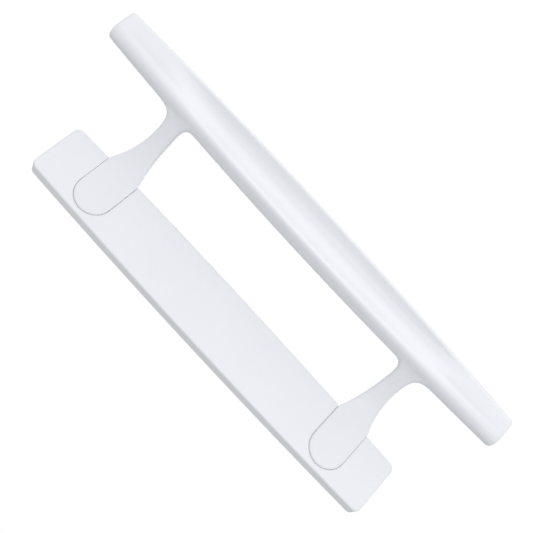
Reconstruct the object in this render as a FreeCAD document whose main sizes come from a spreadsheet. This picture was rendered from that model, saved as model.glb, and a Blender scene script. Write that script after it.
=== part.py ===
import FreeCAD, Part
import math
import os
import Sketcher
from FreeCAD import Vector

# Offset pull handle for a sliding sash or patio door, held from behind by two threaded posts.
# The frame's origin is the middle of the handle's back, on the face of the door. Z runs up the
# handle, +X points from the back plate towards the grip, and the front looks along -Y.
# All sizes are millimetres.

SIZES = (
    ("mount_spacing", 168.3, "between the axes of the two mounting posts"),
    # back plate
    ("plate_length", 231.8, "end to end"),
    ("plate_width", 35.2, "across the middle, where it is widest"),
    ("plate_bow", 1.75, "how far each long edge swells from its ends to its middle"),
    ("plate_thickness", 7.5, "back to face"),
    ("plate_corner", 3.6, "radius of the four corners"),
    ("plate_edge_round", 1.0, "radius round the face"),
    ("plate_wall", 3.0, "side wall round the hollow back"),
    ("plate_skin", 2.5, "face over the hollow back"),
    ("rib_thickness", 1.6, "cross ribs in the hollow back"),
    ("cell_count", 6, "hollows between the two feet"),
    ("foot_block", 4.0, "solid metal above and below each foot"),
    # rubber seal behind the plate
    ("gasket_thickness", 1.0, "rubber, once it is pressed down"),
    ("gasket_inset", 0.5, "set in from the edge of the plate"),
    ("gasket_band", 3.5, "from the edge of the plate to the windows in the rubber"),
    ("gasket_bar", 6.0, "between the two windows, on the middle rib"),
    # feet of the casting, let into the face of the plate
    ("foot_width", 20.8, "across the foot"),
    ("foot_reach", 13.6, "from the post's axis to the tip of the round end"),
    ("foot_seat", 4.5, "depth of the foot's pocket in the plate"),
    ("foot_rise", 1.0, "how far the foot stands proud of the plate"),
    ("foot_edge_round", 0.7, "radius round the foot's face"),
    ("fit_gap", 0.15, "clearance round the foot, the posts and the screws' heads"),
    # arms
    ("arm_neck_width", 9.8, "where the arm is narrowest"),
    ("arm_taper_length", 28.0, "along the arm, from the plate's edge to the neck"),
    ("arm_neck_thickness", 8.5, "front to back, where the arm enters the grip"),
    ("arm_edge_round", 2.0, "radius of the arm's long edges at the neck"),
    ("arm_sink", 4.5, "how deep the arm's middle runs into the side of the grip"),
    ("arm_fillet", 5.0, "radius between arm and grip"),
    # grip
    ("grip_length", 276.2, "end to end"),
    ("grip_offset", 58.05, "from the post's axis sideways to the middle of the grip"),
    ("grip_height", 40.2, "from the door to the front of the grip"),
    ("grip_width", 23.4, "across the middle"),
    ("grip_end_width", 17.0, "across each end"),
    ("grip_thickness", 15.0, "front to back at the middle"),
    ("grip_end_thickness", 12.6, "front to back at each end"),
    ("grip_rim", 1.8, "rounded rim beside the scoop, at the middle"),
    ("grip_end_rim", 4.6, "rounding of the front edges at each end"),
    ("grip_back_round", 5.0, "rounding of the back edges"),
    ("grip_end_round", 1.5, "radius round each end"),
    ("scoop_depth", 3.8, "hollow for the palm in the front of the grip"),
    ("scoop_length", 212.0, "end to end of the hollow"),
    ("scoop_skew", 0.7, "how far across the hollow leans, as a share of its width"),
    # threaded posts
    ("post_radius", 4.0, "barrel that goes through the door"),
    ("post_length", 12.0, "barrel behind the face of the door"),
    ("post_hexagon", 10.0, "across the flats"),
    ("post_hexagon_thickness", 1.8, "front to back"),
    ("post_stub_radius", 3.0, "M6 thread in the foot"),
    ("post_stub_length", 4.4, "of it inside the foot"),
    ("post_bore_radius", 2.1, "tapped M5"),
    ("post_bore_depth", 11.0, "from the barrel's open end"),
    ("post_chamfer", 0.5, "at the barrel's open end"),
    # lock washers
    ("washer_radius", 5.0, "outside"),
    ("washer_thickness", 0.7, "front to back"),
    ("washer_teeth", 8, "slots round the inside"),
    ("washer_slot_width", 1.1, "each slot"),
    ("washer_slot_reach", 4.2, "from the axis to the slot's end"),
    # countersunk screws
    ("screw_radius", 2.0, "M4 thread"),
    ("screw_length", 6.0, "with its head"),
    ("screw_head_radius", 3.75, "at the back"),
    ("screw_head_height", 1.75, "of the cone"),
    ("screw_reach", 11.5, "from the post's axis towards the arm"),
    ("screw_spread", 11.0, "between the two screws of a foot"),
    ("drive_width", 0.9, "slots of the cross recess"),
    ("drive_span", 4.2, "across the cross recess"),
    ("drive_depth", 1.1, "of the cross recess"),
    ("blind_end", 0.3, "left open at the end of each blind hole"),
)

doc = FreeCAD.newDocument("offset_pull_handle")
sheet = doc.addObject("Spreadsheet::Sheet", "Sizes")
for row, (size_name, number, meaning) in enumerate(SIZES, start=1):
    sheet.set(f"A{row}", size_name)
    sheet.set(f"B{row}", str(number))
    sheet.set(f"C{row}", meaning)
    sheet.setAlias(f"B{row}", size_name)
doc.recompute()

# Planes of the handle, as formulas: how far each lies in front of the door
PLATE_BACK = "Sizes.gasket_thickness"
PLATE_FACE = "(Sizes.gasket_thickness + Sizes.plate_thickness)"
FOOT_BACK = f"({PLATE_FACE} - Sizes.foot_seat)"
FOOT_FACE = f"({PLATE_FACE} + Sizes.foot_rise)"
POST_UP = "Sizes.mount_spacing / 2"
HEXAGON_CORNER = "(Sizes.post_hexagon / sqrt(3))"
RECESS_RADIUS = f"({HEXAGON_CORNER} + Sizes.fit_gap)"
WASHER_BACK = "Sizes.post_hexagon_thickness"
WASHER_FRONT = "(Sizes.post_hexagon_thickness + Sizes.washer_thickness)"
FOOT_BLOCK_LOW = "(Sizes.mount_spacing / 2 - Sizes.foot_width / 2 - Sizes.foot_block)"
FOOT_BLOCK_HIGH = "(Sizes.mount_spacing / 2 + Sizes.foot_width / 2 + Sizes.foot_block)"
CELL_LENGTH = (f"((2 * {FOOT_BLOCK_LOW} - (Sizes.cell_count - 1) * Sizes.rib_thickness)"
               " / Sizes.cell_count)")
CELL_HALF_WIDTH = "(Sizes.plate_width / 2 - Sizes.plate_bow - Sizes.plate_wall)"


def value(formula):
    """Number that a formula of sheet sizes comes to."""
    return float(sheet.evalExpression(formula))


def size(name):
    return float(sheet.get(name))


# ---------------------------------------------------------------- building with bodies

def new_body(name):
    body = doc.addObject("PartDesign::Body", name)
    body.Label = name
    return body


def own_plane(body, role):
    return next(plane for plane in body.Origin.OriginFeatures if plane.Role == role)


def face_the_front(item, body, across, up, out):
    """Attach a sketch or primitive to the body's XZ plane, whose normal points to the front."""
    item.AttachmentSupport = [(own_plane(body, "XZ_Plane"), "")]
    item.MapMode = "FlatFace"
    for axis, formula in zip("xyz", (across, up, out)):
        item.setExpression(f"AttachmentOffset.Base.{axis}", formula)


def draw_outline(sketch, corners):
    """Closed outline, anticlockwise. A corner is (across, up), or (across, up, centre) where
    an upright arc with its centre that far across leads to the next corner."""
    places = [[value(formula) for formula in corner] for corner in corners]
    for index, place in enumerate(places):
        start = Vector(place[0], place[1], 0)
        after = places[(index + 1) % len(places)]
        end = Vector(after[0], after[1], 0)
        if len(place) == 2:
            sketch.addGeometry(Part.LineSegment(start, end))
            continue
        centre = Vector(place[2], (start.y + end.y) / 2, 0)
        circle = Part.Circle(centre, Vector(0, 0, 1), (start - centre).Length)
        angles = [math.atan2(point.y - centre.y, point.x - centre.x) for point in (start, end)]
        if angles[1] < angles[0]:
            angles[1] += 2 * math.pi
        sketch.addGeometry(Part.ArcOfCircle(circle, *angles))
    for index, corner in enumerate(corners):
        following = (index + 1) % len(corners)
        sketch.addConstraint(Sketcher.Constraint("Coincident", index, 2, following, 1))
        pin_point(sketch, "DistanceX", index, 1, corner[0])
        pin_point(sketch, "DistanceY", index, 1, corner[1])
        if len(corner) == 3:
            pin_point(sketch, "DistanceX", index, 3, corner[2])


def pin_point(sketch, direction, curve, point, formula):
    """Tie one point of a sketch's curve to a formula, measured from the sketch's origin."""
    rule = Sketcher.Constraint(direction, -1, 1, curve, point, value(formula))
    index = sketch.addConstraint(rule)
    sketch.setExpression(f"Constraints[{index}]", formula)


def front_sketch(body, name, corners, out):
    sketch = body.newObject("Sketcher::SketchObject", name)
    face_the_front(sketch, body, "0", "0", out)
    draw_outline(sketch, corners)
    return sketch


def pad(body, name, sketch, length):
    feature = body.newObject("PartDesign::Pad", name)
    feature.Profile = sketch
    feature.setExpression("Length", length)
    doc.recompute()
    return feature


def pocket(body, name, sketch, depth, towards_front):
    volume_before = body.Shape.Volume
    feature = body.newObject("PartDesign::Pocket", name)
    feature.Profile = sketch
    feature.Reversed = towards_front
    feature.setExpression("Length", depth)
    doc.recompute()
    if body.Shape.Volume >= volume_before:
        raise RuntimeError(f"{name} cuts nothing")
    return feature


def primitive(body, kind, name, across, up, out, **formulas):
    """Add or take away a box, cylinder, cone or prism that grows from 'out' to the front."""
    feature = body.newObject(f"PartDesign::{kind}", name)
    face_the_front(feature, body, across, up, out)
    for property_name, formula in formulas.items():
        feature.setExpression(property_name, formula)
    doc.recompute()
    return feature


def dress_edges(body, kind, name, base, property_name, formula, chosen):
    """Fillet or chamfer the edges of a feature that the test picks."""
    edges = [f"Edge{index}" for index, edge in enumerate(base.Shape.Edges, start=1) if chosen(edge)]
    feature = body.newObject(f"PartDesign::{kind}", name)
    feature.Base = (base, edges)
    feature.setExpression(property_name, formula)
    doc.recompute()
    return feature


def repeat_below(body, feature):
    """Mirror a cut made in the upper half into the lower half."""
    volume_before = body.Shape.Volume
    mirror = body.newObject("PartDesign::Mirrored", f"{feature.Name}_below")
    mirror.Originals = [feature]
    mirror.MirrorPlane = (own_plane(body, "XY_Plane"), [""])
    body.Tip = mirror
    doc.recompute()
    if body.Shape.Volume >= volume_before:
        raise RuntimeError(f"{feature.Name} is not repeated below")


def lies_in_front_plane(edge, out):
    box = edge.BoundBox
    return box.YLength < 0.001 and abs(box.YMin + out) < 0.001


def runs_front_to_back(edge):
    box = edge.BoundBox
    return box.XLength < 0.001 and box.ZLength < 0.001


def bowed_outline(inset):
    """Outline of the plate with its swelling long edges, set in all round by a formula."""
    half_length = f"(Sizes.plate_length / 2 - {inset})"
    middle = f"(Sizes.plate_width / 2 - {inset})"
    end = f"({middle} - Sizes.plate_bow)"
    radius = f"(({half_length}^2 + Sizes.plate_bow^2) / (2 * Sizes.plate_bow))"
    centre = f"({middle} - {radius})"
    return [
        (end, f"-{half_length}", centre),
        (end, half_length),
        (f"-{end}", half_length, f"-{centre}"),
        (f"-{end}", f"-{half_length}"),
    ]


# ---------------------------------------------------------------- back plate

def escutcheon_plate():
    """Cast back plate: hollow and ribbed behind, with an open-sided pocket for each foot."""
    body = new_body("escutcheon_plate")
    outline = front_sketch(body, "plate_outline", bowed_outline("0"), PLATE_BACK)
    slab = pad(body, "plate_slab", outline, "Sizes.plate_thickness")
    cornered = dress_edges(body, "Fillet", "plate_corners", slab, "Radius",
                           "Sizes.plate_corner", runs_front_to_back)
    face = value(PLATE_FACE)
    dress_edges(body, "Fillet", "plate_face_round", cornered, "Radius",
                "Sizes.plate_edge_round", lambda edge: lies_in_front_plane(edge, face))

    hollow = "(Sizes.plate_thickness - Sizes.plate_skin)"
    cell = primitive(body, "SubtractiveBox", "cell", f"-{CELL_HALF_WIDTH}",
                     f"-{FOOT_BLOCK_LOW}", PLATE_BACK,
                     Length=f"2 * {CELL_HALF_WIDTH}", Width=CELL_LENGTH, Height=hollow)
    cells = body.newObject("PartDesign::LinearPattern", "cells")
    cells.Originals = [cell]
    cells.Direction = (own_plane(body, "Z_Axis"), [""])
    cells.setExpression("Length", f"2 * {FOOT_BLOCK_LOW} - {CELL_LENGTH}")
    cells.setExpression("Occurrences", "Sizes.cell_count")
    body.Tip = cells
    end_cell = primitive(body, "SubtractiveBox", "end_cell", f"-{CELL_HALF_WIDTH}",
                         FOOT_BLOCK_HIGH, PLATE_BACK,
                         Length=f"2 * {CELL_HALF_WIDTH}",
                         Width=f"Sizes.plate_length / 2 - Sizes.plate_wall - {FOOT_BLOCK_HIGH}",
                         Height=hollow)
    repeat_below(body, end_cell)

    pocket_half = "(Sizes.foot_width / 2 + Sizes.fit_gap)"
    round_centre = "(Sizes.foot_width / 2 - Sizes.foot_reach)"
    clear_of_plate = "Sizes.plate_width"
    foot_corners = [
        (clear_of_plate, f"{POST_UP} - {pocket_half}"),
        (clear_of_plate, f"{POST_UP} + {pocket_half}"),
        (round_centre, f"{POST_UP} + {pocket_half}", round_centre),
        (round_centre, f"{POST_UP} - {pocket_half}"),
    ]
    foot_sketch = front_sketch(body, "foot_pocket_outline", foot_corners, PLATE_FACE)
    repeat_below(body, pocket(body, "foot_pocket", foot_sketch, "Sizes.foot_seat", False))

    repeat_below(body, primitive(
        body, "SubtractiveCylinder", "hexagon_recess", "0", POST_UP, PLATE_BACK,
        Radius=RECESS_RADIUS, Height=f"{WASHER_FRONT} - {PLATE_BACK}"))
    repeat_below(body, primitive(
        body, "SubtractiveCylinder", "stub_hole", "0", POST_UP, PLATE_BACK,
        Radius="Sizes.post_stub_radius + Sizes.fit_gap", Height="Sizes.plate_thickness"))
    for side, sign in (("inner", "-"), ("outer", "+")):
        up = f"{POST_UP} {sign} Sizes.screw_spread / 2"
        repeat_below(body, primitive(
            body, "SubtractiveCone", f"{side}_countersink", "Sizes.screw_reach", up, PLATE_BACK,
            Radius1="Sizes.screw_head_radius", Radius2="Sizes.screw_radius",
            Height="Sizes.screw_head_height"))
        repeat_below(body, primitive(
            body, "SubtractiveCylinder", f"{side}_screw_hole", "Sizes.screw_reach", up,
            PLATE_BACK, Radius="Sizes.screw_radius", Height="Sizes.plate_thickness"))
    return body


# ---------------------------------------------------------------- rubber seal

def sealing_gasket():
    """Flat rubber behind the plate, open over its hollows and round the posts and screws."""
    body = new_body("sealing_gasket")
    outline = front_sketch(body, "gasket_outline", bowed_outline("Sizes.gasket_inset"), "0")
    sheet_of_rubber = pad(body, "gasket_sheet", outline, "Sizes.gasket_thickness")
    dress_edges(body, "Fillet", "gasket_corners", sheet_of_rubber, "Radius",
                "Sizes.plate_corner - Sizes.gasket_inset", runs_front_to_back)
    window_half = "(Sizes.plate_width / 2 - Sizes.plate_bow - Sizes.gasket_band)"
    window_reach = f"({FOOT_BLOCK_LOW} - Sizes.gasket_inset)"
    repeat_below(body, primitive(
        body, "SubtractiveBox", "window", f"-{window_half}", "Sizes.gasket_bar / 2", "0",
        Length=f"2 * {window_half}", Width=f"{window_reach} - Sizes.gasket_bar / 2",
        Height="Sizes.gasket_thickness"))
    repeat_below(body, primitive(
        body, "SubtractiveCylinder", "post_hole", "0", POST_UP, "0",
        Radius=RECESS_RADIUS, Height="Sizes.gasket_thickness"))
    for side, sign in (("inner", "-"), ("outer", "+")):
        repeat_below(body, primitive(
            body, "SubtractiveCylinder", f"{side}_screw_opening", "Sizes.screw_reach",
            f"{POST_UP} {sign} Sizes.screw_spread / 2", "0",
            Radius="Sizes.screw_head_radius + Sizes.fit_gap", Height="Sizes.gasket_thickness"))
    return body


# ---------------------------------------------------------------- posts, washers and screws

def mounting_post(name, sign):
    """Turned steel post: a stub thread for the foot, a hexagon and a tapped barrel behind."""
    body = new_body(name)
    primitive(body, "AdditiveCylinder", "barrel", "0", "0", "-Sizes.post_length",
              Radius="Sizes.post_radius", Height="Sizes.post_length")
    hexagon = primitive(body, "AdditivePrism", "hexagon", "0", "0", "0",
                        Circumradius=HEXAGON_CORNER, Height=WASHER_BACK)
    hexagon.Polygon = 6
    stub = primitive(body, "AdditiveCylinder", "stub", "0", "0", WASHER_BACK,
                     Radius="Sizes.post_stub_radius",
                     Height=f"{FOOT_BACK} + Sizes.post_stub_length - {WASHER_BACK}")
    tip = value(f"{FOOT_BACK} + Sizes.post_stub_length")
    dress_edges(body, "Chamfer", "end_chamfers", stub, "Size", "Sizes.post_chamfer",
                lambda edge: lies_in_front_plane(edge, -size("post_length"))
                or lies_in_front_plane(edge, tip))
    primitive(body, "SubtractiveCylinder", "tapped_bore", "0", "0", "-Sizes.post_length",
              Radius="Sizes.post_bore_radius", Height="Sizes.post_bore_depth")
    body.setExpression("Placement.Base.z", f"{sign}{POST_UP}")
    return body


def post_lock_washer(name, sign):
    """Spring steel washer with teeth round its inside, between hexagon and plate."""
    body = new_body(name)
    primitive(body, "AdditiveCylinder", "disc", "0", "0", WASHER_BACK,
              Radius="Sizes.washer_radius", Height="Sizes.washer_thickness")
    primitive(body, "SubtractiveCylinder", "hole", "0", "0", WASHER_BACK,
              Radius="Sizes.post_stub_radius + Sizes.fit_gap", Height="Sizes.washer_thickness")
    slot = primitive(body, "SubtractiveBox", "slot", "0", "-Sizes.washer_slot_width / 2",
                     WASHER_BACK, Length="Sizes.washer_slot_reach",
                     Width="Sizes.washer_slot_width", Height="Sizes.washer_thickness")
    teeth = body.newObject("PartDesign::PolarPattern", "teeth")
    teeth.Originals = [slot]
    teeth.Axis = (own_plane(body, "Y_Axis"), [""])
    teeth.Angle = 360
    teeth.setExpression("Occurrences", "Sizes.washer_teeth")
    body.Tip = teeth
    body.setExpression("Placement.Base.z", f"{sign}{POST_UP}")
    return body


def foot_screw(name, post_sign, spread_sign):
    """Countersunk steel screw, put in from the back through the plate into a foot."""
    body = new_body(name)
    primitive(body, "AdditiveCone", "head", "0", "0", "0",
              Radius1="Sizes.screw_head_radius", Radius2="Sizes.screw_radius",
              Height="Sizes.screw_head_height")
    primitive(body, "AdditiveCylinder", "shank", "0", "0", "Sizes.screw_head_height",
              Radius="Sizes.screw_radius",
              Height="Sizes.screw_length - Sizes.screw_head_height")
    for drive, length, width in (("level_slot", "drive_span", "drive_width"),
                                 ("upright_slot", "drive_width", "drive_span")):
        primitive(body, "SubtractiveBox", drive, f"-Sizes.{length} / 2", f"-Sizes.{width} / 2",
                  "0", Length=f"Sizes.{length}", Width=f"Sizes.{width}",
                  Height="Sizes.drive_depth")
    body.setExpression("Placement.Base.x", "Sizes.screw_reach")
    body.setExpression("Placement.Base.y", f"-{PLATE_BACK}")
    body.setExpression("Placement.Base.z",
                       f"{post_sign}{POST_UP} {spread_sign} Sizes.screw_spread / 2")
    return body


# ---------------------------------------------------------------- the casting

def curve_edge(*points):
    """Edge along the Bezier curve of two, three or four points."""
    curve = Part.BezierCurve()
    curve.setPoles(list(points))
    return curve.toShape()


def grip_section(height, inset=0.0):
    """Outline of the grip at a height: scooped front, rounded edges, narrower near the ends.
    An inset draws it in all round."""
    share = (2 * height / size("grip_length")) ** 2
    width = size("grip_width") + share * (size("grip_end_width") - size("grip_width"))
    thickness = (size("grip_thickness")
                 + share * (size("grip_end_thickness") - size("grip_thickness")))
    rim = size("grip_rim") + share * (size("grip_end_rim") - size("grip_rim")) - inset
    back_round = size("grip_back_round") - inset
    scoop_share = min(1.0, abs(2 * height / size("scoop_length")))
    scoop = size("scoop_depth") * (1 - scoop_share ** 4) ** 2

    front = inset - size("grip_height")
    back = front + thickness - 2 * inset
    left = size("grip_offset") - width / 2 + inset
    right = size("grip_offset") + width / 2 - inset

    def at(across, depth):
        return Vector(across, depth, height)

    lean = size("scoop_skew") * (right - left - 2 * rim)
    scoop_middle = at(left + rim + lean, front + 2 * scoop)
    return Part.Wire([
        curve_edge(at(left + rim, front), scoop_middle, at(right - rim, front)),
        curve_edge(at(right - rim, front), at(right, front), at(right, front + rim)),
        curve_edge(at(right, front + rim), at(right, back - back_round)),
        curve_edge(at(right, back - back_round), at(right, back), at(right - back_round, back)),
        curve_edge(at(right - back_round, back), at(left + back_round, back)),
        curve_edge(at(left + back_round, back), at(left, back), at(left, back - back_round)),
        curve_edge(at(left, back - back_round), at(left, front + rim)),
        curve_edge(at(left, front + rim), at(left, front), at(left + rim, front)),
    ])


def grip_shape():
    """Grip: sections lofted along Z, with a shorter loft that rounds off each end."""
    end_round = size("grip_end_round")
    straight = size("grip_length") / 2 - end_round
    section_count = 15
    steps = [2 * index / (section_count - 1) - 1 for index in range(section_count)]
    bar = Part.makeLoft([grip_section(straight * step) for step in steps], True, False)
    caps = []
    for sign in (-1, 1):
        sections = []
        for degrees in (0, 30, 60, 90):
            turn = math.radians(degrees)
            height = sign * (straight + end_round * math.sin(turn))
            sections.append(grip_section(height, end_round * (1 - math.cos(turn))))
        caps.append(Part.makeLoft(sections, True, False))
    return bar.fuse(caps)


def arm_section(centre, direction, width, thickness, edge_round):
    """Rounded rectangle across the arm, square to the way the arm runs."""
    outwards = Vector(0, 0, 1)
    frontwards = direction.cross(outwards) * -1
    corners = []
    for up, front in ((1, 1), (-1, 1), (-1, -1), (1, -1)):
        corner = centre + outwards * (up * width / 2) + frontwards * (front * thickness / 2)
        along_width = outwards * (-up * edge_round)
        along_thickness = frontwards * (-front * edge_round)
        corners.append((corner, along_width, along_thickness))
    edges = []
    for index, (corner, along_width, along_thickness) in enumerate(corners):
        follower, next_width, next_thickness = corners[(index + 1) % 4]
        if index % 2 == 0:
            entry, leave, arrive = along_thickness, along_width, next_width
        else:
            entry, leave, arrive = along_width, along_thickness, next_thickness
        edges.append(curve_edge(corner + entry, corner, corner + leave))
        edges.append(curve_edge(corner + leave, follower + arrive))
    return Part.Wire(edges)


def arm_shape(height):
    """Arm: sections lofted along an arc from the plate's edge into the side of the grip."""
    bow_share = (2 * height / size("plate_length")) ** 2
    start_across = size("plate_width") / 2 - size("plate_bow") * bow_share
    foot_thickness = size("foot_seat") + size("foot_rise")
    start = Vector(start_across, -value(FOOT_FACE) + foot_thickness / 2, height)
    grip_share = (2 * height / size("grip_length")) ** 2
    grip_half = (size("grip_width")
                 + grip_share * (size("grip_end_width") - size("grip_width"))) / 2
    target_across = size("grip_offset") - grip_half + size("arm_sink")
    target_depth = -size("grip_height") + size("grip_thickness") / 2
    run = target_across - start.x
    rise = start.y - target_depth
    radius = (run ** 2 + rise ** 2) / (2 * rise)
    full_turn = math.asin(run / radius)

    section_count = 9
    sections = []
    for index in range(section_count):
        progress = index / (section_count - 1)
        turn = full_turn * progress
        centre = start + Vector(radius * math.sin(turn), -radius * (1 - math.cos(turn)), 0)
        direction = Vector(math.cos(turn), -math.sin(turn), 0)
        to_neck = max(0.0, 1 - radius * turn / size("arm_taper_length"))
        neck = size("arm_neck_width")
        width = neck + (size("foot_width") - neck) * to_neck ** 2
        thickness = foot_thickness + progress * (size("arm_neck_thickness") - foot_thickness)
        edge_round = (size("foot_edge_round")
                      + progress * (size("arm_edge_round") - size("foot_edge_round")))
        sections.append(arm_section(centre, direction, width, thickness, edge_round))
    return Part.makeLoft(sections, True, False)


def foot_shape(height):
    """Foot: flat bar with a round end that lies in the plate's pocket, tapped from behind."""
    half_width = size("foot_width") / 2
    round_centre = half_width - size("foot_reach")
    bow_share = (2 * height / size("plate_length")) ** 2
    edge_across = size("plate_width") / 2 - size("plate_bow") * bow_share
    back = -value(FOOT_BACK)
    thickness = size("foot_seat") + size("foot_rise")

    def at(across, up):
        return Vector(across, back, height + up)

    outline = Part.Wire([
        Part.LineSegment(at(edge_across, half_width), at(round_centre, half_width)).toShape(),
        Part.Arc(at(round_centre, half_width), at(-size("foot_reach"), 0),
                 at(round_centre, -half_width)).toShape(),
        Part.LineSegment(at(round_centre, -half_width), at(edge_across, -half_width)).toShape(),
        Part.LineSegment(at(edge_across, -half_width), at(edge_across, half_width)).toShape(),
    ])
    foot = Part.Face(outline).extrude(Vector(0, -thickness, 0))
    face_edges = [edge for edge in foot.Edges
                  if lies_in_front_plane(edge, value(FOOT_FACE))
                  and edge.CenterOfMass.x < edge_across - 1]
    foot = foot.makeFillet(size("foot_edge_round"), face_edges)

    holes = [(0, 0, size("post_stub_radius"), size("post_stub_length"))]
    screw_grip = value(f"{PLATE_BACK} + Sizes.screw_length - {FOOT_BACK}")
    for sign in (-1, 1):
        holes.append((size("screw_reach"), sign * size("screw_spread") / 2,
                      size("screw_radius"), screw_grip))
    for across, up, radius, depth in holes:
        hole = Part.makeCylinder(radius, depth + size("blind_end"), at(across, up),
                                 Vector(0, -1, 0))
        foot = foot.cut(hole)
    return foot


def seam_edges(casting):
    """Edges where the arms run into the grip."""
    grip_side = size("grip_offset") - size("grip_width") / 2
    grip_back = -size("grip_height") + size("grip_thickness")
    seams = []
    for edge in casting.Edges:
        middle = edge.CenterOfMass
        beside_arm = abs(abs(middle.z) - size("mount_spacing") / 2) < size("arm_neck_width")
        short = edge.BoundBox.ZLength < size("arm_neck_width")
        if beside_arm and short and middle.x > grip_side and middle.y < grip_back:
            seams.append(edge)
    return seams


def pull_handle_casting():
    """Grip, arms and feet poured as one piece, with a fillet where each arm meets the grip."""
    grip = grip_shape()
    limbs = []
    for sign in (-1, 1):
        height = sign * size("mount_spacing") / 2
        limbs += [arm_shape(height), foot_shape(height)]
    casting = grip.fuse(limbs).removeSplitter()
    casting = casting.makeFillet(size("arm_fillet"), seam_edges(casting))
    feature = doc.addObject("Part::Feature", "pull_handle_casting")
    feature.Label = "pull_handle_casting"
    feature.Shape = casting
    feature.Placement = FreeCAD.Placement()
    return feature


# ---------------------------------------------------------------- assembly and files

subparts = [pull_handle_casting(), escutcheon_plate(), sealing_gasket()]
for end_name, end_sign in (("upper", "+"), ("lower", "-")):
    subparts.append(mounting_post(f"{end_name}_mounting_post", end_sign))
    subparts.append(post_lock_washer(f"{end_name}_post_lock_washer", end_sign))
    for screw_name, screw_sign in (("top", "+"), ("bottom", "-")):
        subparts.append(foot_screw(f"{end_name}_foot_{screw_name}_screw", end_sign, screw_sign))
doc.recompute()

for item in doc.Objects:
    if "Invalid" in item.State or "Error" in item.State:
        raise RuntimeError(f"{item.Name} failed: {item.State}")
for subpart in subparts:
    if subpart.Shape.isNull() or not subpart.Shape.isValid():
        raise RuntimeError(f"{subpart.Label} has no valid shape")

os.makedirs("parts", exist_ok=True)
for subpart in subparts:
    subpart.Shape.exportStep(f"parts/{subpart.Label}.step")
    box = subpart.Shape.BoundBox
    print(subpart.Label, len(subpart.Shape.Solids), round(subpart.Shape.Volume, 1),
          [round(number, 2) for number in (box.XMin, box.XMax, box.YMin, box.YMax,
                                           box.ZMin, box.ZMax)])
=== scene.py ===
import math

import bmesh
import bpy
from mathutils import Matrix, Vector


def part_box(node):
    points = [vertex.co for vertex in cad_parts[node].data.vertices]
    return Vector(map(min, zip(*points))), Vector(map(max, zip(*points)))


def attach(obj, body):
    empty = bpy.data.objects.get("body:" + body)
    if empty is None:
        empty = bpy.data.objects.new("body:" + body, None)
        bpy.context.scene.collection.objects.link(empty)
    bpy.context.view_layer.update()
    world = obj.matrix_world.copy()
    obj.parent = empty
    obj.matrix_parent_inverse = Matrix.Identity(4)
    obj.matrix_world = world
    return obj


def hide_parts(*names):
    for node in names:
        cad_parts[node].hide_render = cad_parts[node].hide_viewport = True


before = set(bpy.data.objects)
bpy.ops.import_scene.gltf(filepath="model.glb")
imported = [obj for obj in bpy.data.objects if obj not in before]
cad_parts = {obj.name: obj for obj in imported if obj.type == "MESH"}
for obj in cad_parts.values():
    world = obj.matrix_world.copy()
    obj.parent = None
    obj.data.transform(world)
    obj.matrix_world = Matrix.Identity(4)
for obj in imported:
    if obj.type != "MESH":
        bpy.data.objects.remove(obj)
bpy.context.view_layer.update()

# ---------------------------------------------------------------- pull handle casting
# The pull is one aluminium casting: a long scooped grip, two arms that bow out from it, and a
# flat round-ended foot on each arm that lies in a pocket of the plate. It is linished, its
# joints are blended by hand, and it is powder coated white before the screws go in.

MM = 0.001
MERGE = 0.002 * MM
HAIR = 0.01 * MM

# The grip: sizes in pairs are at its middle and at its ends.
casting_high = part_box("pull_handle_casting")[1]
GRIP_HALF_LENGTH = casting_high.z
GRIP_WIDTHS = (23.4 * MM, 17.0 * MM)
GRIP_CENTRE = casting_high.x - GRIP_WIDTHS[0] / 2
GRIP_FRONT = -40.2 * MM
GRIP_DEPTHS = (15.0 * MM, 12.6 * MM)
NEAR_RIMS = (2.1 * MM, 4.3 * MM)
FAR_RIMS = (2.2 * MM, 2.7 * MM)
RIM_SHRINK = 0.6
BACK_ROUND = 5.0 * MM
NEAR_WALL_LOOP = 0.45
BACK_LOOPS = (0.4, 0.75)
END_ROUND = 1.5 * MM
END_ROUND_DEGREES = (0, 30, 60, 90)
END_INSET = 2 * MM

# The hollow for the palm leans away from the near rim, and a faint crease follows its ends.
SCOOP_DEPTH = 4.6 * MM
SCOOP_HALF_LENGTH = 108 * MM
SCOOP_SKEWS = (0.72, 0.86)
SCOOP_POINTS = 7
SCOOP_FADE_POWER = 6
FRONT_TILT = 0.9 * MM
CREASE_DEPTH = 0.7 * MM
CREASE_HEIGHT = 112 * MM
CREASE_SPREAD = 18 * MM

# The arm bends along an arc from the foot into the grip, and slims from foot to neck.
post_low, post_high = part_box("upper_mounting_post")
ARM_HEIGHT = (post_low.z + post_high.z) / 2
ARM_START = Vector((16.7 * MM, -6.75 * MM, 0))
ARM_RADIUS = 37.8 * MM
ARM_NECK_WIDTH = 9.7 * MM
ARM_TAPER = 28 * MM
ARM_DEPTHS = (5.5 * MM, 8.5 * MM)
ARM_EDGE_GROWTH = 1.9 * MM
ARM_FULL_TURN = math.radians(71.7)
ARM_NECK_TURN = math.radians(60)
ARM_SEARCH_BACK = math.radians(8)
ARM_SEARCH_STEP = math.radians(0.25)
ARM_LEAN = 0.8 * MM
ARM_RING_DEGREES = (43, 36, 29, 22, 15, 9, 4, 0)
FILLETS = {"outer": 8.5 * MM, "inner": 10.5 * MM, "front": 3.0 * MM, "back": 5.0 * MM}
FILLET_SHARES = (0.75, 0.5, 0.25, 0.0)
FOOT_WIDTH = 20.8 * MM
FOOT_ROUND_CENTRE = -3.2 * MM
FOOT_RINGS = (14.6 * MM, 8 * MM, 2 * MM, FOOT_ROUND_CENTRE)
FOOT_EDGE = 1.6 * MM
FOOT_STEPS = 12

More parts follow.
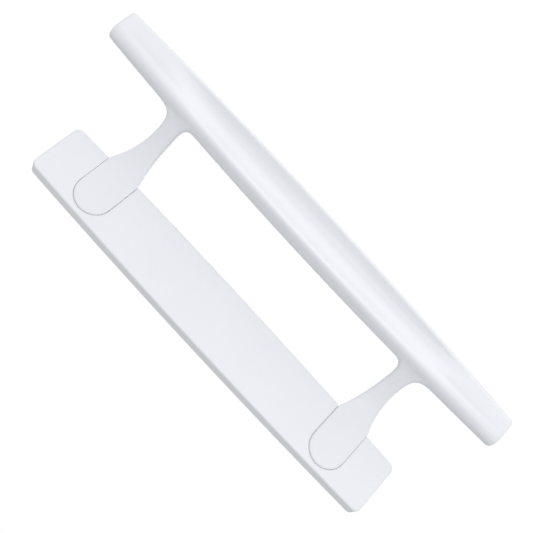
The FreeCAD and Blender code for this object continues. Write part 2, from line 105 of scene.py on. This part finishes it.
# Heights of the grip's rings: below the arm, across it and beyond it.
NEAR_STATIONS = [step * MM for step in (12, 24, 36, 46, 55, 63, 69)]
ARM_STATIONS = [ARM_HEIGHT + step * MM for step in (-9.5, -5.0, 0.0, 6.0, 13.5)]
FAR_STATIONS = [step * MM for step in (105, 113, 121, 128, 133, 136)]


def between(ends, share):
    """Value part of the way from the first to the second."""
    return ends[0] + share * (ends[1] - ends[0])


def grip_walls(height):
    """Left, right, front and back of the grip at a height."""
    share = (height / GRIP_HALF_LENGTH) ** 2
    half_width = between(GRIP_WIDTHS, share) / 2
    back = GRIP_FRONT + between(GRIP_DEPTHS, share)
    return GRIP_CENTRE - half_width, GRIP_CENTRE + half_width, GRIP_FRONT, back


def scoop_line(height, near_edge, far_edge, front):
    """Points across the hollow in the front, from its far edge to its near edge."""
    reach = min(1.0, abs(height) / SCOOP_HALF_LENGTH)
    fade = (1 - reach ** SCOOP_FADE_POWER) ** 2
    pull = near_edge + between(SCOOP_SKEWS, reach ** 2) * (far_edge - near_edge)
    crease = CREASE_DEPTH * math.exp(-((abs(height) - CREASE_HEIGHT) / CREASE_SPREAD) ** 2)
    points = []
    for index in range(1, SCOOP_POINTS + 1):
        step = index / (SCOOP_POINTS + 1)
        to_pull = between((far_edge, pull), step)
        from_pull = between((pull, near_edge), step)
        dip = SCOOP_DEPTH * fade * 4 * step * (1 - step)
        if index == SCOOP_POINTS:
            dip += crease
        points.append((between((to_pull, from_pull), step), front + dip))
    return points


def grip_outline(height, inset=0.0):
    """Points round the grip at a height, from the near wall round the back to the front."""
    left, right, front, back = grip_walls(height)
    left, right, front, back = left + inset, right - inset, front + inset, back - inset
    share = (height / GRIP_HALF_LENGTH) ** 2
    near = between(NEAR_RIMS, share) - inset * RIM_SHRINK
    far = between(FAR_RIMS, share) - inset * RIM_SHRINK
    heel = BACK_ROUND - inset
    bite = 1 - math.sqrt(0.5)
    wall = (back - heel) - (front + near)
    flat = (right - heel) - (left + heel)
    points = [
        (left, front + near),
        (left, front + near + NEAR_WALL_LOOP * wall),
        (left, back - heel),
        (left + bite * heel, back - bite * heel),
        (left + heel, back),
        (left + heel + BACK_LOOPS[0] * flat, back),
        (left + heel + BACK_LOOPS[1] * flat, back),
        (right - heel, back),
        (right - bite * heel, back - bite * heel),
        (right, back - heel),
        (right, (front + far + back - heel) / 2),
        (right, front + far),
        (right - bite * far, front + bite * far),
        (right - far, front),
    ]
    points += scoop_line(height, left + near, right - far, front)
    points.append((left + near, front))
    points.append((left + bite * near, front + bite * near))
    tilt = share * FRONT_TILT / (right - left)
    points = [(x, y if y > front + wall else y + tilt * (right - x)) for x, y in points]
    return [Vector((x, y, height)) for x, y in points]


def inside_grip(point):
    """True if a point is within the near wall and the back of the grip."""
    left, right, front, back = grip_walls(point.z)
    to_corner = Vector((left + BACK_ROUND - point.x, point.y - (back - BACK_ROUND)))
    if min(to_corner) > 0:
        return to_corner.length < BACK_ROUND
    return point.x > left and point.y < back


def arm_point(turn, across, proud):
    """Point of the upper arm: a turn along its arc, so far across it and proud of its middle."""
    middle = Vector((math.sin(turn), math.cos(turn) - 1, 0)) * ARM_RADIUS
    front = Vector((-math.sin(turn), -math.cos(turn), 0))
    lean = ARM_LEAN * max(0.0, turn / ARM_FULL_TURN) ** 2
    return ARM_START + middle + front * proud + Vector((0, 0, ARM_HEIGHT + across + lean))


def arm_width(turn):
    """Width of the arm at a turn along its arc: full at the plate, slim at the neck."""
    left_to_neck = max(0.0, 1 - ARM_RADIUS * turn / ARM_TAPER)
    return ARM_NECK_WIDTH + (FOOT_WIDTH - ARM_NECK_WIDTH) * left_to_neck ** 2


def arm_stops(turn):
    """The 16 places round the arm, as distances across it and proud of its middle."""
    share = turn / ARM_FULL_TURN
    half_width = arm_width(turn) / 2
    half_depth = between(ARM_DEPTHS, share) / 2
    edge = FOOT_EDGE + share * ARM_EDGE_GROWTH
    across = [-half_width, edge - half_width, 0, half_width - edge, half_width]
    proud = [half_depth, half_depth - edge, 0, edge - half_depth, -half_depth]
    stops = [(a, proud[0]) for a in across]
    stops += [(across[4], p) for p in proud[1:]]
    stops += [(a, proud[4]) for a in across[3::-1]]
    stops += [(across[0], p) for p in proud[3:0:-1]]
    return stops


def next_ring(shape, ring, points):
    """Draws a ring of vertices out to new points and returns the new ring, in the same order."""
    edges = []
    for index, vert in enumerate(ring):
        edges.append(shape.edges.get((vert, ring[(index + 1) % len(ring)])))
    grown = bmesh.ops.extrude_edge_only(shape, edges=edges)["geom"]
    fresh = {item for item in grown if isinstance(item, bmesh.types.BMVert)}
    new_ring = []
    for vert, point in zip(ring, points):
        partner = next(edge.other_vert(vert) for edge in vert.link_edges
                       if edge.other_vert(vert) in fresh)
        partner.co = point
        new_ring.append(partner)
    return new_ring


def grip_with_hole():
    """Upper half of the grip, closed at its end, with a hole where the arm comes in."""
    shape = bmesh.new()
    first = grip_outline(0)
    ring = bmesh.ops.create_circle(shape, segments=len(first), radius=GRIP_WIDTHS[0])["verts"]
    for vert, point in zip(ring, first):
        vert.co = point
    rings = [ring]
    for height in NEAR_STATIONS + ARM_STATIONS + FAR_STATIONS:
        rings.append(next_ring(shape, rings[-1], grip_outline(height)))
    for degrees in END_ROUND_DEGREES:
        turn = math.radians(degrees)
        height = GRIP_HALF_LENGTH - END_ROUND * (1 - math.sin(turn))
        inset = END_ROUND * (1 - math.cos(turn))
        rings.append(next_ring(shape, rings[-1], grip_outline(height, inset)))
    last = rings[-1]
    edges = [shape.edges.get((vert, last[(index + 1) % len(last)]))
             for index, vert in enumerate(last)]
    cap = bmesh.ops.contextual_create(shape, geom=edges)["faces"]
    bmesh.ops.inset_region(shape, faces=cap, thickness=END_INSET, depth=0)

    # The arm comes in through the near wall and the back, four faces by four.
    start = len(NEAR_STATIONS) + 1
    patch = [rings[start + row][1:6] for row in range(len(ARM_STATIONS))]
    hole = [patch[row][0] for row in range(5)]
    hole += patch[4][1:]
    hole += [patch[row][4] for row in (3, 2, 1, 0)]
    hole += [patch[0][column] for column in (3, 2, 1)]
    inner = {vert for row in patch for vert in row}
    faces = [face for face in shape.faces if inner.issuperset(face.verts)]
    bmesh.ops.delete(shape, geom=faces, context="FACES")
    return shape, hole


def arm_and_foot(shape, hole):
    """Draws the hole out into the fillets, the arm and the foot, and spins the foot's end."""
    starts, corners, ends = [], [], [vert.co.copy() for vert in hole]
    for across, proud in arm_stops(ARM_NECK_TURN):
        side = "outer" if across > 0 else "inner"
        face = "front" if proud > 0 else "back"
        on_side = abs(across) / (arm_width(ARM_NECK_TURN) / 2)
        fillet = between((FILLETS[face], FILLETS[side]), on_side ** 2)
        turn = ARM_NECK_TURN - ARM_SEARCH_BACK
        while not inside_grip(arm_point(turn, across, proud)):
            turn += ARM_SEARCH_STEP
        corners.append(arm_point(turn, across, proud))
        starts.append(arm_point(turn - fillet / ARM_RADIUS, across, proud))
    ring = hole
    for share in FILLET_SHARES:
        points = []
        for start, corner, end in zip(starts, corners, ends):
            first = start.lerp(corner, share)
            points.append(first.lerp(corner.lerp(end, share), share))
        ring = next_ring(shape, ring, points)
    for degrees in ARM_RING_DEGREES:
        turn = math.radians(degrees)
        points = [arm_point(turn, *stop) for stop in arm_stops(turn)]
        ring = next_ring(shape, ring, points)
    for across in FOOT_RINGS:
        shift = Vector((across - ARM_START.x, 0, 0))
        points = [arm_point(0, *stop) + shift for stop in arm_stops(0)]
        ring = next_ring(shape, ring, points)

    # Half of the last ring is spun round to the other half, and swelled to make up for the
    # way that subdivision draws a coarse arc in.
    centre = Vector((FOOT_ROUND_CENTRE, 0, ARM_HEIGHT))
    edges = [shape.edges.get((ring[index], ring[index + 1])) for index in range(2, 10)]
    before = set(shape.verts)
    bmesh.ops.spin(shape, geom=edges, cent=centre, axis=(0, 1, 0), angle=-math.pi,
                   steps=FOOT_STEPS, use_merge=False, use_duplicate=False)
    swell = 6 / (4 + 2 * math.cos(math.pi / FOOT_STEPS))
    for vert in set(shape.verts) - before:
        if vert.co.x < FOOT_ROUND_CENTRE - HAIR:
            vert.co.x = centre.x + (vert.co.x - centre.x) * swell
            vert.co.z = centre.z + (vert.co.z - centre.z) * swell


def powder_coat(name, colour):
    """White satin powder coat: a faint orange peel, and a slight drift in shade and sheen."""
    material = bpy.data.materials.new(name)
    material.use_nodes = True
    nodes, links = material.node_tree.nodes, material.node_tree.links
    shader = nodes["Principled BSDF"]
    shader.inputs["Coat Weight"].default_value = 0.15
    shader.inputs["Coat Roughness"].default_value = 0.3
    place = nodes.new("ShaderNodeTexCoord")
    peel = nodes.new("ShaderNodeTexNoise")
    peel.inputs["Scale"].default_value = 900
    peel.inputs["Detail"].default_value = 3
    drift = nodes.new("ShaderNodeTexNoise")
    drift.inputs["Scale"].default_value = 35
    drift.inputs["Detail"].default_value = 4
    for noise in (peel, drift):
        links.new(place.outputs["Object"], noise.inputs["Vector"])
    bump = nodes.new("ShaderNodeBump")
    bump.inputs["Strength"].default_value = 0.05
    bump.inputs["Distance"].default_value = 0.05 * MM
    links.new(peel.outputs["Fac"], bump.inputs["Height"])
    links.new(bump.outputs["Normal"], shader.inputs["Normal"])
    shade = nodes.new("ShaderNodeValToRGB")
    shade.color_ramp.elements[0].position = 0.3
    shade.color_ramp.elements[0].color = (*[part * 0.985 for part in colour], 1)
    shade.color_ramp.elements[1].position = 0.7
    shade.color_ramp.elements[1].color = (*colour, 1)
    links.new(drift.outputs["Fac"], shade.inputs["Fac"])
    links.new(shade.outputs["Color"], shader.inputs["Base Color"])
    sheen = nodes.new("ShaderNodeMapRange")
    sheen.inputs["To Min"].default_value = 0.27
    sheen.inputs["To Max"].default_value = 0.34
    links.new(drift.outputs["Fac"], sheen.inputs["Value"])
    links.new(sheen.outputs["Result"], shader.inputs["Roughness"])
    return material


def finished_object(shape, name, material, replaced):
    """Turns a bmesh into a smooth object that rides on the root body for a CAD node."""
    mesh = bpy.data.meshes.new(name)
    shape.to_mesh(mesh)
    shape.free()
    mesh.shade_smooth()
    mesh.materials.append(material)
    piece = bpy.data.objects.new(name, mesh)
    bpy.context.scene.collection.objects.link(piece)
    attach(piece, "root")
    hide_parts(replaced)
    return piece


CASTING_WHITE = (0.835, 0.855, 0.898)
casting_coat = powder_coat("casting_powder_coat", CASTING_WHITE)
casting_shape, arm_hole = grip_with_hole()
arm_and_foot(casting_shape, arm_hole)
bmesh.ops.remove_doubles(casting_shape, verts=casting_shape.verts, dist=MERGE)
upper_half = casting_shape.verts[:] + casting_shape.edges[:] + casting_shape.faces[:]
bmesh.ops.mirror(casting_shape, geom=upper_half, matrix=Matrix.Identity(4), merge_dist=MERGE,
                 axis="Z")
bmesh.ops.remove_doubles(casting_shape, verts=casting_shape.verts, dist=MERGE)
bmesh.ops.recalc_face_normals(casting_shape, faces=casting_shape.faces)
casting = finished_object(casting_shape, "pull_handle", casting_coat,
                          "pull_handle_casting")
rounding = casting.modifiers.new("round", "SUBSURF")
rounding.levels = 2
rounding.render_levels = 2

# ---------------------------------------------------------------- escutcheon plate
# The plate is a second casting, open and ribbed behind, with a pocket for each foot. It has
# the same powder coat as the pull, and is a shade lighter than it.


def recoat(node, material):
    """Gives a CAD node its finish in place of the plain one."""
    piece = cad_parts[node]
    piece.data.materials.clear()
    piece.data.materials.append(material)


PLATE_WHITE = (0.85, 0.87, 0.912)
recoat("escutcheon_plate", powder_coat("plate_powder_coat", PLATE_WHITE))

# ---------------------------------------------------------------- sealing gasket
# The gasket is a millimetre of black cellular rubber, die cut with two windows and with holes
# for the posts and screws, and stuck to the plate's rim so that rain can't get behind it.


def cellular_rubber(name, colour):
    """Matt black rubber: fine open grain, and a faint bloom in patches."""
    material = bpy.data.materials.new(name)
    material.use_nodes = True
    nodes, links = material.node_tree.nodes, material.node_tree.links
    shader = nodes["Principled BSDF"]
    shader.inputs["Roughness"].default_value = 0.85
    shader.inputs["Specular IOR Level"].default_value = 0.3
    place = nodes.new("ShaderNodeTexCoord")
    cells = nodes.new("ShaderNodeTexVoronoi")
    cells.inputs["Scale"].default_value = 2600
    bloom = nodes.new("ShaderNodeTexNoise")
    bloom.inputs["Scale"].default_value = 60
    bloom.inputs["Detail"].default_value = 5
    for texture in (cells, bloom):
        links.new(place.outputs["Object"], texture.inputs["Vector"])
    bump = nodes.new("ShaderNodeBump")
    bump.inputs["Strength"].default_value = 0.5
    bump.inputs["Distance"].default_value = 0.1 * MM
    links.new(cells.outputs["Distance"], bump.inputs["Height"])
    links.new(bump.outputs["Normal"], shader.inputs["Normal"])
    shade = nodes.new("ShaderNodeValToRGB")
    shade.color_ramp.elements[0].position = 0.35
    shade.color_ramp.elements[0].color = (*colour, 1)
    shade.color_ramp.elements[1].position = 0.75
    shade.color_ramp.elements[1].color = (*[part * 1.5 for part in colour], 1)
    links.new(bloom.outputs["Fac"], shade.inputs["Fac"])
    links.new(shade.outputs["Color"], shader.inputs["Base Color"])
    return material


RUBBER_BLACK = (0.035, 0.035, 0.037)
recoat("sealing_gasket", cellular_rubber("gasket_rubber", RUBBER_BLACK))

# ---------------------------------------------------------------- mounting posts
# Each post is turned from steel bar and zinc plated: an M6 stub that screws into the foot, a
# hexagon for the spanner, and a barrel through the door with an M5 thread tapped in its end.

BARREL_RADIUS = 4.0 * MM
BARREL_CHAMFER = 0.5 * MM
BORE_RADIUS = 2.5 * MM
BORE_THREAD_RADIUS = 2.1 * MM
BORE_DEPTH = 11.0 * MM
BORE_MOUTH = 2.8 * MM
HEXAGON_RADIUS = 5.77 * MM
HEXAGON_DEPTH = 1.8 * MM
HEXAGON_EDGE = 0.25 * MM
STUB_RADIUS = 2.5 * MM
STUB_THREAD_RADIUS = 3.0 * MM
GROOVE_WIDTH = 0.9 * MM
GROOVE_DEPTH = 0.35 * MM
GROOVE_FLOOR = 0.7 * GROOVE_WIDTH
ROUND_STEPS = 48
M5_PITCH = 0.8 * MM
M6_PITCH = 1.0 * MM
THREAD_STEPS = 24
THREAD_FOOT = 0.85
THREAD_CREST = (0.35, 0.5)
THREAD_SEAT = 0.05 * MM
THREAD_RELIEF = 0.3 * MM
SHOULDER_RELIEF = 0.8 * MM
POST_SHARP_EDGE = math.radians(30)


def turned_shell(shape, centre, outline):
    """Spins an outline of (radius, depth) points about an axis front to back through a centre."""
    verts = [shape.verts.new((centre.x + radius, depth, centre.z)) for radius, depth in outline]
    edges = [shape.edges.new(pair) for pair in zip(verts, verts[1:])]
    bmesh.ops.spin(shape, geom=edges, cent=(centre.x, 0, centre.z), axis=(0, 1, 0),
                   angle=2 * math.pi, steps=ROUND_STEPS, use_merge=True)


def hexagon_collar(shape, centre, depth):
    """Hexagon with eased edges, from the plate's back face to a depth in front of it."""
    flat = Matrix.Translation(centre) @ Matrix.Rotation(math.radians(90), 4, "X")
    corners = bmesh.ops.create_circle(shape, cap_ends=True, segments=6, radius=HEXAGON_RADIUS,
                                      matrix=flat)["verts"]
    base = corners[0].link_faces[0]
    sides = bmesh.ops.extrude_face_region(shape, geom=[base])["geom"]
    pulled = [item for item in sides if isinstance(item, bmesh.types.BMVert)]
    bmesh.ops.translate(shape, verts=pulled, vec=(0, -depth, 0))
    hexagon = set(corners) | set(pulled)
    rims = [edge for edge in shape.edges if hexagon.issuperset(edge.verts)
            and abs(edge.verts[0].co.y - edge.verts[1].co.y) < HAIR]
    bmesh.ops.bevel(shape, geom=rims, offset=HEXAGON_EDGE, segments=2, profile=0.5,
                    affect="EDGES", material=-1)


def thread_ridge(shape, centre, first, last, root, crest, pitch):
    """Winds a vee ridge of thread from one depth to another, with both of its ends closed."""
    turns = (last - first - pitch) / pitch
    sides = [(root, first), (root, first + THREAD_FOOT * pitch),
             (crest, first + THREAD_CREST[1] * pitch), (crest, first + THREAD_CREST[0] * pitch)]
    verts = [shape.verts.new((centre.x + radius, depth, centre.z)) for radius, depth in sides]
    start = shape.faces.new(verts)
    bmesh.ops.spin(shape, geom=[start], cent=(centre.x, 0, centre.z), axis=(0, 1, 0),
                   dvec=(0, pitch / THREAD_STEPS, 0), angle=2 * math.pi * turns,
                   steps=round(THREAD_STEPS * turns))


def plated_steel(name, colour, roughness, mark_scale):
    """Plated steel with fine turning marks across its axis and a cloudy plating."""
    material = bpy.data.materials.new(name)
    material.use_nodes = True
    nodes, links = material.node_tree.nodes, material.node_tree.links
    shader = nodes["Principled BSDF"]
    shader.inputs["Metallic"].default_value = 1.0
    place = nodes.new("ShaderNodeTexCoord")
    stretch = nodes.new("ShaderNodeMapping")
    stretch.inputs["Scale"].default_value = (60, mark_scale, 60)
    marks = nodes.new("ShaderNodeTexNoise")
    marks.inputs["Scale"].default_value = 1
    marks.inputs["Detail"].default_value = 2
    cloud = nodes.new("ShaderNodeTexNoise")
    cloud.inputs["Scale"].default_value = 260
    cloud.inputs["Detail"].default_value = 4
    links.new(place.outputs["Object"], stretch.inputs["Vector"])
    links.new(stretch.outputs["Vector"], marks.inputs["Vector"])
    links.new(place.outputs["Object"], cloud.inputs["Vector"])
    bump = nodes.new("ShaderNodeBump")
    bump.inputs["Strength"].default_value = 0.25
    bump.inputs["Distance"].default_value = 0.02 * MM
    links.new(marks.outputs["Fac"], bump.inputs["Height"])
    links.new(bump.outputs["Normal"], shader.inputs["Normal"])
    shade = nodes.new("ShaderNodeValToRGB")
    shade.color_ramp.elements[0].position = 0.3
    shade.color_ramp.elements[0].color = (*[part * 0.9 for part in colour], 1)
    shade.color_ramp.elements[1].position = 0.7
    shade.color_ramp.elements[1].color = (*colour, 1)
    links.new(cloud.outputs["Fac"], shade.inputs["Fac"])
    links.new(shade.outputs["Color"], shader.inputs["Base Color"])
    sheen = nodes.new("ShaderNodeMapRange")
    sheen.inputs["To Min"].default_value = roughness * 0.8
    sheen.inputs["To Max"].default_value = roughness * 1.25
    links.new(cloud.outputs["Fac"], sheen.inputs["Value"])
    links.new(sheen.outputs["Result"], shader.inputs["Roughness"])
    return material


ZINC = (0.66, 0.67, 0.66)
post_zinc = plated_steel("post_zinc", ZINC, roughness=0.3, mark_scale=9000)
for end in ("upper", "lower"):
    low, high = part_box(f"{end}_mounting_post")
    centre = Vector(((low.x + high.x) / 2, 0, (low.z + high.z) / 2))
    tip, mouth = low.y, high.y
    shoulder = -HEXAGON_DEPTH
    post = bmesh.new()
    turned_shell(post, centre, [
        (0, mouth - BORE_DEPTH), (BORE_RADIUS, mouth - BORE_DEPTH),
        (BORE_RADIUS, mouth - (BORE_MOUTH - BORE_RADIUS)), (BORE_MOUTH, mouth),
        (BARREL_RADIUS - BARREL_CHAMFER, mouth), (BARREL_RADIUS, mouth - BARREL_CHAMFER),
        (BARREL_RADIUS, GROOVE_WIDTH), (BARREL_RADIUS - GROOVE_DEPTH, GROOVE_FLOOR),
        (BARREL_RADIUS - GROOVE_DEPTH, shoulder / 2), (STUB_RADIUS, shoulder / 2),
        (STUB_RADIUS, tip + BARREL_CHAMFER), (STUB_RADIUS - BARREL_CHAMFER, tip), (0, tip)])
    bmesh.ops.remove_doubles(post, verts=post.verts, dist=MERGE)
    bmesh.ops.recalc_face_normals(post, faces=post.faces)
    hexagon_collar(post, centre, HEXAGON_DEPTH)
    thread_ridge(post, centre, mouth - BORE_DEPTH + THREAD_RELIEF, mouth - THREAD_RELIEF,
                 BORE_RADIUS + THREAD_SEAT, BORE_THREAD_RADIUS, M5_PITCH)
    thread_ridge(post, centre, tip + THREAD_RELIEF, shoulder - SHOULDER_RELIEF,
                 STUB_RADIUS - THREAD_SEAT, STUB_THREAD_RADIUS, M6_PITCH)
    bmesh.ops.recalc_face_normals(post, faces=post.faces)
    piece = finished_object(post, f"{end}_post", post_zinc,
                            f"{end}_mounting_post")
    piece.data.set_sharp_from_angle(angle=POST_SHARP_EDGE)

# ---------------------------------------------------------------- lock washers
# A stamped spring steel washer, with teeth round its inside, sits between each post's hexagon
# and the plate and keeps the post from working loose. It is left dark grey, and lightly oiled.

SPRING_STEEL = (0.42, 0.41, 0.40)
washer_steel = plated_steel("washer_steel", SPRING_STEEL, roughness=0.42, mark_scale=3000)
for end in ("upper", "lower"):
    recoat(f"{end}_post_lock_washer", washer_steel)

# ---------------------------------------------------------------- foot screws
# Two countersunk steel screws go in from the back of the plate into each foot, and keep the
# foot from turning on its post. They are zinc plated, with a cross recess for the driver.

SCREW_ZINC = (0.70, 0.70, 0.69)
screw_steel = plated_steel("screw_zinc", SCREW_ZINC, roughness=0.26, mark_scale=5000)
for end in ("upper", "lower"):
    for side in ("top", "bottom"):
        recoat(f"{end}_foot_{side}_screw", screw_steel)

# ---------------------------------------------------------------- floor, light and camera
# The handle is shown as it hangs on a door, about a metre above a plain pale floor, in the
# soft light of a white room that is brighter in front of the door than behind it.

FLOOR_DROP = 1.0
FLOOR_HALF_SIDE = 2.0
FLOOR_PAINT = (0.9, 0.9, 0.9, 1)
floor_shape = bmesh.new()
bmesh.ops.create_grid(floor_shape, x_segments=8, y_segments=8, size=FLOOR_HALF_SIDE)
bmesh.ops.translate(floor_shape, verts=floor_shape.verts, vec=(0, 0, -FLOOR_DROP))
floor_mesh = bpy.data.meshes.new("floor")
floor_shape.to_mesh(floor_mesh)
floor_shape.free()
floor_paint = bpy.data.materials.new("floor_paint")
floor_paint.use_nodes = True
floor_shader = floor_paint.node_tree.nodes["Principled BSDF"]
floor_shader.inputs["Base Color"].default_value = FLOOR_PAINT
floor_shader.inputs["Roughness"].default_value = 0.9
floor_mesh.materials.append(floor_paint)
floor = bpy.data.objects.new("floor", floor_mesh)
bpy.context.scene.collection.objects.link(floor)
floor.visible_diffuse = False
floor.visible_glossy = False


def soft_light(name, place, aim, size, power):
    """Square area light at a place, turned to face a point, and itself unseen."""
    lamp = bpy.data.lights.new(name, "AREA")
    lamp.size = size
    lamp.energy = power
    light = bpy.data.objects.new(name, lamp)
    bpy.context.scene.collection.objects.link(light)
    light.location = place
    light.rotation_mode = "QUATERNION"
    light.rotation_quaternion = (Vector(aim) - Vector(place)).to_track_quat("-Z", "Y")
    light.visible_camera = False


HANDLE_MIDDLE = (0.03, 0, 0)
soft_light("key_light", (-0.08, -1.0, -0.25), HANDLE_MIDDLE, size=0.5, power=0.75)
soft_light("side_light", (1.35, -0.95, -0.25), HANDLE_MIDDLE, size=1.2, power=4.4)
soft_light("back_light", (0.9, 1.4, 0.3), (0, 0, 0), size=1.0, power=5)
soft_light("floor_light", (0, 0, -0.5), (0, 0, -FLOOR_DROP), size=7.0, power=140)

# The room's light falls off from the bright side in front to the dim side behind the door.
BRIGHT_SIDE = (0.2, -0.98, 0)
ROOM_DIM = 0.46
ROOM_BRIGHT = 0.97
WHITE = (1, 1, 1, 1)
world = bpy.data.worlds.new("studio")
bpy.context.scene.world = world
world.use_nodes = True
room, join = world.node_tree.nodes, world.node_tree.links.new
room_light = room["Background"]
room_light.inputs["Color"].default_value = WHITE
look = room.new("ShaderNodeTexCoord")
facing_bright = room.new("ShaderNodeVectorMath")
facing_bright.operation = "DOT_PRODUCT"
facing_bright.inputs[1].default_value = BRIGHT_SIDE
fall_off = room.new("ShaderNodeMapRange")
fall_off.inputs["From Min"].default_value = -1
fall_off.inputs["From Max"].default_value = 1
fall_off.inputs["To Min"].default_value = ROOM_DIM
fall_off.inputs["To Max"].default_value = ROOM_BRIGHT
join(look.outputs["Generated"], facing_bright.inputs[0])
join(facing_bright.outputs["Value"], fall_off.inputs["Value"])
join(fall_off.outputs["Result"], room_light.inputs["Strength"])
backdrop = room.new("ShaderNodeBackground")
backdrop.inputs["Strength"].default_value = 1.0
backdrop.inputs["Color"].default_value = WHITE
ray = room.new("ShaderNodeLightPath")
either = room.new("ShaderNodeMixShader")
join(ray.outputs["Is Camera Ray"], either.inputs[0])
join(room_light.outputs[0], either.inputs[1])
join(backdrop.outputs[0], either.inputs[2])
join(either.outputs[0], room["World Output"].inputs[0])
bpy.context.scene.view_settings.view_transform = "Standard"

# The camera looks at the handle from the left of its front, turned on its own axis so that the
# handle lies across the view from corner to corner.
CAMERA_SIDE = math.radians(27.321)
CAMERA_TURN = math.radians(47.3)
CAMERA_ROLL = math.radians(-0.028)
CAMERA_TILT = math.radians(0.461)
CAMERA_SHIFT = Vector((-11.13, 12.53, 460.1)) * MM
LOOK_AT = Vector((20, -10, 0)) * MM
SENSOR_WIDTH = 36
FOCAL_SHARE = 922.1 / 533

across = Vector((math.cos(CAMERA_SIDE), -math.sin(CAMERA_SIDE), 0))
down = Vector((0, 0, -1))
right_way = down * math.cos(CAMERA_TURN) + across * math.sin(CAMERA_TURN)
down_way = down * math.sin(CAMERA_TURN) - across * math.cos(CAMERA_TURN)
forward = right_way.cross(down_way)
facing = Matrix((right_way, down_way, forward))
tilt = Matrix.Rotation(CAMERA_TILT, 3, across)
roll = Matrix.Rotation(CAMERA_ROLL, 3, "Z")
rows = roll @ facing @ tilt
camera_data = bpy.data.cameras.new("camera")
camera_data.sensor_width = SENSOR_WIDTH
camera_data.lens = SENSOR_WIDTH * FOCAL_SHARE
camera = bpy.data.objects.new("camera", camera_data)
bpy.context.scene.collection.objects.link(camera)
camera_place = Matrix((rows[0], -rows[1], -rows[2])).transposed().to_4x4()
camera_place.translation = LOOK_AT - rows.transposed() @ CAMERA_SHIFT
camera.matrix_world = camera_place
bpy.context.scene.camera = camera
